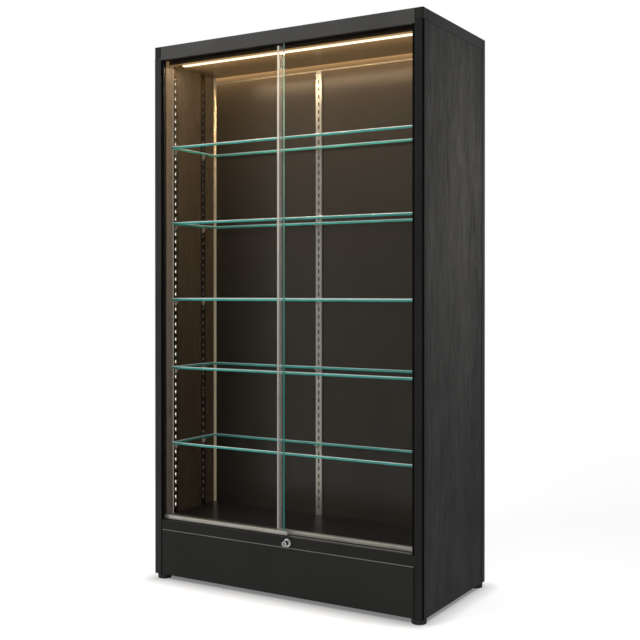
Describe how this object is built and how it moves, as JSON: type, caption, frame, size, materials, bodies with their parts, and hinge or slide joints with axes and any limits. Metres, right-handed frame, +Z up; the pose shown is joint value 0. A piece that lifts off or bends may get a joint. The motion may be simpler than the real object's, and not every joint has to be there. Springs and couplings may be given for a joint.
{
  "type": "trading card display case",
  "caption": "Free-standing framed display case: bypass sliding glass doors, glass shelves on slotted strips, lit ceiling, kick base and levelling feet.",
  "frame": {"origin": "bottom centre of the bounding box: midway across the width, midway between the lock knob's face and the rear plane, on the floor", "axes": "+X to the right seen from the front, +Y from the doors to the back, +Z up"},
  "size_m": [0.708, 0.3544, 1.27],
  "materials": {
    "black_frame": "smooth satin black powder coat",
    "woodgrain": "charcoal woodgrain laminate, grain upright",
    "black_board": "plain black laminate",
    "ceiling_board": "dark brown laminate, satin",
    "back_gloss": "dark reflective gloss sheet",
    "aluminium": "satin anodised",
    "strip_steel": "zinc bright satin",
    "clear_glass": "clear float glass with teal green edges",
    "clear_plastic": "clear extruded seal",
    "nylon": "white nylon",
    "axle_steel": "bright steel",
    "chrome": "polished",
    "black_plastic": "moulded black",
    "milky_cover": "translucent warm white",
    "driver_case": "grey anodised"
  },
  "bodies": {
    "carcass": {"post_front_left": "black_frame", "post_front_right": "black_frame", "post_rear_left": "black_frame", "post_rear_right": "black_frame", "corner_front_left": "black_frame", "corner_front_right": "black_frame", "corner_rear_left": "black_frame", "corner_rear_right": "black_frame", "header": "black_frame", "top_rail_left": "black_frame", "top_rail_right": "black_frame", "top_rail_rear": "black_frame", "top_panel": "black_board", "ceiling_panel": "ceiling_board", "side_panel_left": "woodgrain", "side_panel_right": "woodgrain", "back_panel": "back_gloss", "back_beads": "aluminium", "rear_cover": "black_board", "cable_grommet": "black_plastic", "base_frame": "black_frame", "kick_panel": "black_board", "kick_trim": "aluminium", "front_band": "black_frame", "deck": "black_board", "lower_track": "aluminium", "upper_track": "black_frame", "shelf_1": "clear_glass", "shelf_2": "clear_glass", "shelf_3": "clear_glass", "shelf_4": "clear_glass", "shelf_5": "clear_glass", "pilaster_left_front": "strip_steel", "pilaster_left_rear": "strip_steel", "pilaster_right_front": "strip_steel", "pilaster_right_rear": "strip_steel", "pilaster_back": "strip_steel", "shelf_clips": "strip_steel", "led_channel": "aluminium", "led_diffuser": "milky_cover", "led_driver": "driver_case", "lock_body": "chrome"},
    "left_door": {"door_glass_left": "clear_glass", "door_shoe_left": "aluminium", "door_axles_left": "axle_steel"},
    "right_door": {"door_glass_right": "clear_glass", "door_shoe_right": "aluminium", "door_axles_right": "axle_steel", "door_seal": "clear_plastic", "strike_bush": "axle_steel"},
    "left_roller_1": {"roller_left_1": "nylon"},
    "left_roller_2": {"roller_left_2": "nylon"},
    "right_roller_1": {"roller_right_1": "nylon"},
    "right_roller_2": {"roller_right_2": "nylon"},
    "lock_knob": {"lock_plunger": "chrome"},
    "key_core": {"lock_core": "axle_steel"},
    "front_left_foot": {"foot_front_left": "black_plastic"},
    "front_right_foot": {"foot_front_right": "black_plastic"},
    "rear_left_foot": {"foot_rear_left": "black_plastic"},
    "rear_right_foot": {"foot_rear_right": "black_plastic"}
  },
  "joints": [
    {"name": "left_door_slide", "type": "slide", "parent": "carcass", "child": "left_door", "axis": [1, 0, 0], "range_m": [0, 0.3165]},
    {"name": "right_door_slide", "type": "slide", "parent": "carcass", "child": "right_door", "axis": [-1, 0, 0], "range_m": [0, 0.3115]},
    {"name": "left_roller_1_spin", "type": "hinge", "parent": "left_door", "child": "left_roller_1", "pos_m": [-0.2535, -0.14575, 0.1332], "axis": [0, 1, 0], "continuous": true},
    {"name": "left_roller_2_spin", "type": "hinge", "parent": "left_door", "child": "left_roller_2", "pos_m": [-0.076, -0.14575, 0.1332], "axis": [0, 1, 0], "continuous": true},
    {"name": "right_roller_1_spin", "type": "hinge", "parent": "right_door", "child": "right_roller_1", "pos_m": [0.061, -0.13275, 0.1332], "axis": [0, 1, 0], "continuous": true},
    {"name": "right_roller_2_spin", "type": "hinge", "parent": "right_door", "child": "right_roller_2", "pos_m": [0.2535, -0.13275, 0.1332], "axis": [0, 1, 0], "continuous": true},
    {"name": "lock_push", "type": "slide", "parent": "carcass", "child": "lock_knob", "axis": [0, -1, 0], "range_m": [-0.013, 0], "stiffness_N_per_m": 150, "springref_m": 0.012},
    {"name": "key_turn", "type": "hinge", "parent": "lock_knob", "child": "key_core", "pos_m": [0.024, -0.17275, 0.1308], "axis": [0, 1, 0], "range_deg": [0, 90]},
    {"name": "front_left_foot_turn", "type": "hinge", "parent": "carcass", "child": "front_left_foot", "pos_m": [-0.3365, -0.14525, 0.006], "axis": [0, 0, 1], "continuous": true},
    {"name": "front_right_foot_turn", "type": "hinge", "parent": "carcass", "child": "front_right_foot", "pos_m": [0.3365, -0.14525, 0.006], "axis": [0, 0, 1], "continuous": true},
    {"name": "rear_left_foot_turn", "type": "hinge", "parent": "carcass", "child": "rear_left_foot", "pos_m": [-0.3365, 0.15975, 0.006], "axis": [0, 0, 1], "continuous": true},
    {"name": "rear_right_foot_turn", "type": "hinge", "parent": "carcass", "child": "rear_right_foot", "pos_m": [0.3365, 0.15975, 0.006], "axis": [0, 0, 1], "continuous": true}
  ],
  "couplings": [
    {"joint": "left_roller_1_spin", "follows": "left_door_slide", "rad_per_m": 185.19},
    {"joint": "left_roller_2_spin", "follows": "left_door_slide", "rad_per_m": 185.19},
    {"joint": "right_roller_1_spin", "follows": "right_door_slide", "rad_per_m": -185.19},
    {"joint": "right_roller_2_spin", "follows": "right_door_slide", "rad_per_m": -185.19}
  ]
}
